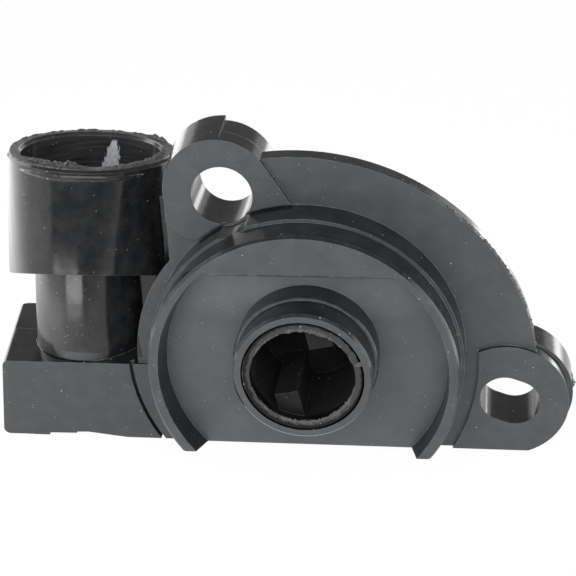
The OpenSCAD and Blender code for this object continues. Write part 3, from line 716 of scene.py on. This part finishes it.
        burr("rotor_burr_top", 20, 175, DRIVE_R + 0.02, 130, [(0, 0.2), (0.3, 0.5), (0.6, 0.4), (1, 0.1)],
             [(0, 0.5 * tall), (0.4, tall), (1, 0.2 * tall)], 9)
        burr("rotor_burr_low", 195, 350, DRIVE_R + 0.02, 130, [(0, 0.15), (0.4, 0.45), (0.8, 0.5), (1, 0.2)],
             [(0, 0.3 * tall), (0.5, tall), (1, 0.4 * tall)], 10)
        burr("rotor_burr_left", 150, 215, ROTOR_R - 0.06, 60, [(0, 0.05), (0.5, 0.3), (1, 0.05)],
             [(0, 0.2 * tall), (0.5, 0.6 * tall), (1, 0.2 * tall)], 11, 1.0)
        radii = spread(DRIVE_R + 0.1, ROTOR_R + 0.75, 12)
        bridge = [ring_point(0, 0, r, 16, ROTOR_FRONT + 0.02) for r in radii]
        ragged_ridge("rotor_bridge", bridge, [front] * len(bridge), [(0, 0.3), (0.5, 0.75), (1, 0.25)],
                     [(0, 0.5 * tall), (0.5, tall), (1, 0.3 * tall)], props.seed + 12, pale,
                     "rotor", 0.35, 0.5)


class SENSOR_OT_seals(bpy.types.Operator):
    """Finishes the two seals, the thrust washer and the resin"""
    bl_idname = "sensor.seals"
    bl_label = "Seals"

    def execute(self, context):
        rubber = plain_finish("seal_rubber", (0.02, 0.02, 0.02), roughness=0.6, grain_per_mm=4.0,
                              contrast=0.3, height=0.01 * MM)
        dress("cover_seal", rubber)
        dress("shaft_seal", rubber)
        dress("thrust_washer", plain_finish("washer_plastic", (0.7, 0.66, 0.52), roughness=0.4,
                                            grain_per_mm=2.0, contrast=0.08, height=0.004 * MM))
        dress("potting", plain_finish("potting_resin", (0.02, 0.02, 0.023), roughness=0.2,
                                      grain_per_mm=0.4, contrast=0.25, height=0.03 * MM))
        return {"FINISHED"}


class SENSOR_OT_contacts(bpy.types.Operator):
    """Finishes the terminals, the wiper, the rivets and the return spring"""
    bl_idname = "sensor.contacts"
    bl_label = "Contacts"

    def execute(self, context):
        brass = metal_finish("contact_brass", (0.72, 0.55, 0.28), roughness=0.32, streak=(1.0, 1.0, 0.12))
        for node in ("terminal_supply", "terminal_signal", "terminal_ground", "wiper"):
            dress(node, brass)
        dress("board_rivets", metal_finish("rivet_metal", (0.68, 0.67, 0.64), roughness=0.35,
                                           streak=(1.0, 0.2, 1.0)))
        dress("return_spring", metal_finish("spring_steel", (0.55, 0.55, 0.56), roughness=0.28,
                                            streak=(0.3, 1.0, 0.3)))
        return {"FINISHED"}


class SENSOR_OT_element(bpy.types.Operator):
    """Finishes the element board and its printed tracks"""
    bl_idname = "sensor.element"
    bl_label = "Element board"

    def execute(self, context):
        dress("element_board", plain_finish("board_laminate", (0.72, 0.68, 0.52), roughness=0.5,
                                            grain_per_mm=3.0, contrast=0.1, height=0.005 * MM))
        dress("resistive_track", plain_finish("track_ink", (0.03, 0.03, 0.03), roughness=0.45,
                                              grain_per_mm=6.0, contrast=0.3, height=0.004 * MM))
        dress("collector_track", metal_finish("track_silver", (0.7, 0.69, 0.66), roughness=0.4,
                                              streak=(1.0, 1.0, 1.0)))
        return {"FINISHED"}


class SENSOR_OT_studio(bpy.types.Operator):
    """Sets the camera, the floor, the lamps and the room light"""
    bl_idname = "sensor.studio"
    bl_label = "Studio"

    def execute(self, context):
        props = context.scene.sensor_studio
        self.set_camera(context, props)
        self.set_floor(context, props)
        self.set_lamps(context, props)
        context.scene.view_settings.view_transform = "Standard"
        return {"FINISHED"}

    def set_camera(self, context, props):
        """The camera that sees the part as the photograph does."""
        lens = bpy.data.cameras.new("camera")
        lens.lens = props.focal_length
        lens.sensor_width = 36
        lens.clip_start = 0.01
        camera = bpy.data.objects.new("camera", lens)
        turn = (Matrix.Rotation(props.camera_pan, 4, "Z")
                @ Matrix.Rotation(math.pi / 2 - props.camera_tilt, 4, "X")
                @ Matrix.Rotation(props.camera_roll, 4, "Z"))
        camera.matrix_world = Matrix.Translation(props.camera_place) @ turn
        context.scene.collection.objects.link(camera)
        context.scene.camera = camera

    def set_floor(self, context, props):
        """A white floor that keeps the part's shadow and glows for rays that see it."""
        finish = new_finish("studio_floor")
        tree = finish.node_tree
        place = millimetres(tree)
        tone = props.floor_tone
        mottle = blend_colour(tree, noise(tree, place, 0.02, 2.0), shade((tone,) * 3, 0.99),
                              shade((tone,) * 3))
        lit = add_node(tree, "ShaderNodeBsdfDiffuse", None, Color=mottle)
        x, y, _ = split(tree, place)
        # Gloss sees a floor that is dark far in front and brighter at both sides, the camera an even white
        reach = props.floor_reach / MM
        fall = remap(tree, y, -1.3 * reach, -0.8 * reach, 0.1, 1.0)
        left = both(tree, remap(tree, x, -60, -90), remap(tree, y, -75, -45))
        right = both(tree, remap(tree, x, 50, 75), remap(tree, y, -45, -15))
        for side, extra in ((left, props.left_floor), (right, props.right_floor)):
            fall = math_node(tree, "ADD", fall, math_node(tree, "MULTIPLY", side, extra))
        camera = add_node(tree, "ShaderNodeLightPath").outputs["Is Camera Ray"]
        strength = remap(tree, camera, 0.0, 1.0, fall, 1.03)
        glow = add_node(tree, "ShaderNodeEmission", None, Color=(1, 1, 1, 1), Strength=strength)
        # What isn't glow stays the lit floor, which keeps the shadow
        share = math_node(tree, "MULTIPLY", seen_ray(tree), 0.94)
        mixed = add_node(tree, "ShaderNodeMixShader", None, Fac=share, i1=lit.outputs[0], i2=glow.outputs[0])
        add_node(tree, "ShaderNodeOutputMaterial", None, Surface=mixed.outputs[0])
        half = props.floor_size / 2
        floor = studio_sheet("studio_floor", [(-half, -half, FLOOR_LEVEL), (half, -half, FLOOR_LEVEL),
                                              (half, half, FLOOR_LEVEL), (-half, half, FLOOR_LEVEL)], finish)

    def set_lamps(self, context, props):
        """The panel, three lamps and the room's light, which is white near the floor where it is seen."""
        def lamp(name, brightness, place, look_at, width, height):
            """A flat lamp whose face is as bright as a surface of that value."""
            light = bpy.data.lights.new(name, "AREA")
            light.shape = "RECTANGLE"
            light.size = width
            light.size_y = height
            light.energy = brightness * math.pi * width * height
            box = bpy.data.objects.new(name, light)
            box.location = place
            box.rotation_euler = (Vector(look_at) - Vector(place)).to_track_quat("-Z", "Y").to_euler()
            box.visible_camera = False
            context.scene.collection.objects.link(box)

        self.set_panel(context, props)
        lamp("right_lamp", props.right_lamp, place=(0.135, -0.010, 0.031), look_at=(0, -0.010, 0.031),
             width=0.12, height=0.09)
        lamp("top_lamp", props.top_lamp, place=(0.0, -0.30, 0.20), look_at=(0, 0, 0), width=0.5, height=0.25)
        lamp("glint_lamp", props.glint_lamp, place=(-0.0665, -0.0835, -0.0112),
             look_at=(-0.0295, 0.002, 0.005), width=0.055, height=0.004)
        world = bpy.data.worlds.new("room")
        world.use_nodes = True
        tree = world.node_tree
        tree.nodes.clear()
        rise = split(tree, add_node(tree, "ShaderNodeTexCoord").outputs["Generated"])[2]
        white = both(tree, seen_ray(tree), remap(tree, rise, 0.2, 0.18))
        back = add_node(tree, "ShaderNodeBackground", None, Color=(1, 1, 1, 1),
                        Strength=remap(tree, white, 0.0, 1.0, props.room, 1.0))
        add_node(tree, "ShaderNodeOutputWorld", None, Surface=back.outputs[0])
        context.scene.world = world

    def set_panel(self, context, props):
        """An upright glowing panel on the left, brightest at its back end."""
        finish = new_finish("studio_panel")
        tree = finish.node_tree
        _, y, _ = split(tree, millimetres(tree))
        # About a quarter of its full brightness in front, and all of it at the back end
        middle = remap(tree, y, -85, -10, 0.27 * props.left_panel, 0.42 * props.left_panel)
        back = remap(tree, y, -10, 45, 0.0, 0.58 * props.left_panel)
        glow = add_node(tree, "ShaderNodeEmission", None, Color=(1, 1, 1, 1),
                        Strength=math_node(tree, "ADD", middle, back))
        add_node(tree, "ShaderNodeOutputMaterial", None, Surface=glow.outputs[0])
        x, near, far, low, high = -0.105, -0.082, 0.085, FLOOR_LEVEL + 0.001, 0.09
        panel = studio_sheet("studio_panel", [(x, near, low), (x, far, low), (x, far, high), (x, near, high)],
                             finish)
        panel.visible_camera = False


class SENSOR_PT_panel(bpy.types.Panel):
    """Lists the steps and the values they use"""
    bl_idname = "SENSOR_PT_panel"
    bl_label = "Throttle position sensor"
    bl_space_type = "VIEW_3D"
    bl_region_type = "UI"
    bl_category = "Sensor"

    def draw(self, context):
        for name in GROUPS:
            group = getattr(context.scene, name)
            column = self.layout.column()
            for key in group.__annotations__:
                column.prop(group, key)
        for step in STEPS:
            self.layout.operator(step.bl_idname)


GROUPS = {"sensor_moulding": MouldingProps, "sensor_rotor": RotorProps, "sensor_flash": FlashProps,
          "sensor_studio": StudioProps}
STEPS = (SENSOR_OT_mouldings, SENSOR_OT_rotor, SENSOR_OT_seals, SENSOR_OT_contacts, SENSOR_OT_element,
         SENSOR_OT_flash, SENSOR_OT_studio)


def register():
    for cls in (*GROUPS.values(), *STEPS, SENSOR_PT_panel):
        bpy.utils.register_class(cls)
    for name, group in GROUPS.items():
        setattr(bpy.types.Scene, name, PointerProperty(type=group))


def unregister():
    for name in GROUPS:
        delattr(bpy.types.Scene, name)
    for cls in reversed((*GROUPS.values(), *STEPS, SENSOR_PT_panel)):
        bpy.utils.unregister_class(cls)


def main():
    register()
    for step in STEPS:
        namespace, name = step.bl_idname.split(".")
        getattr(getattr(bpy.ops, namespace), name)()


if __name__ == "__main__":
    main()
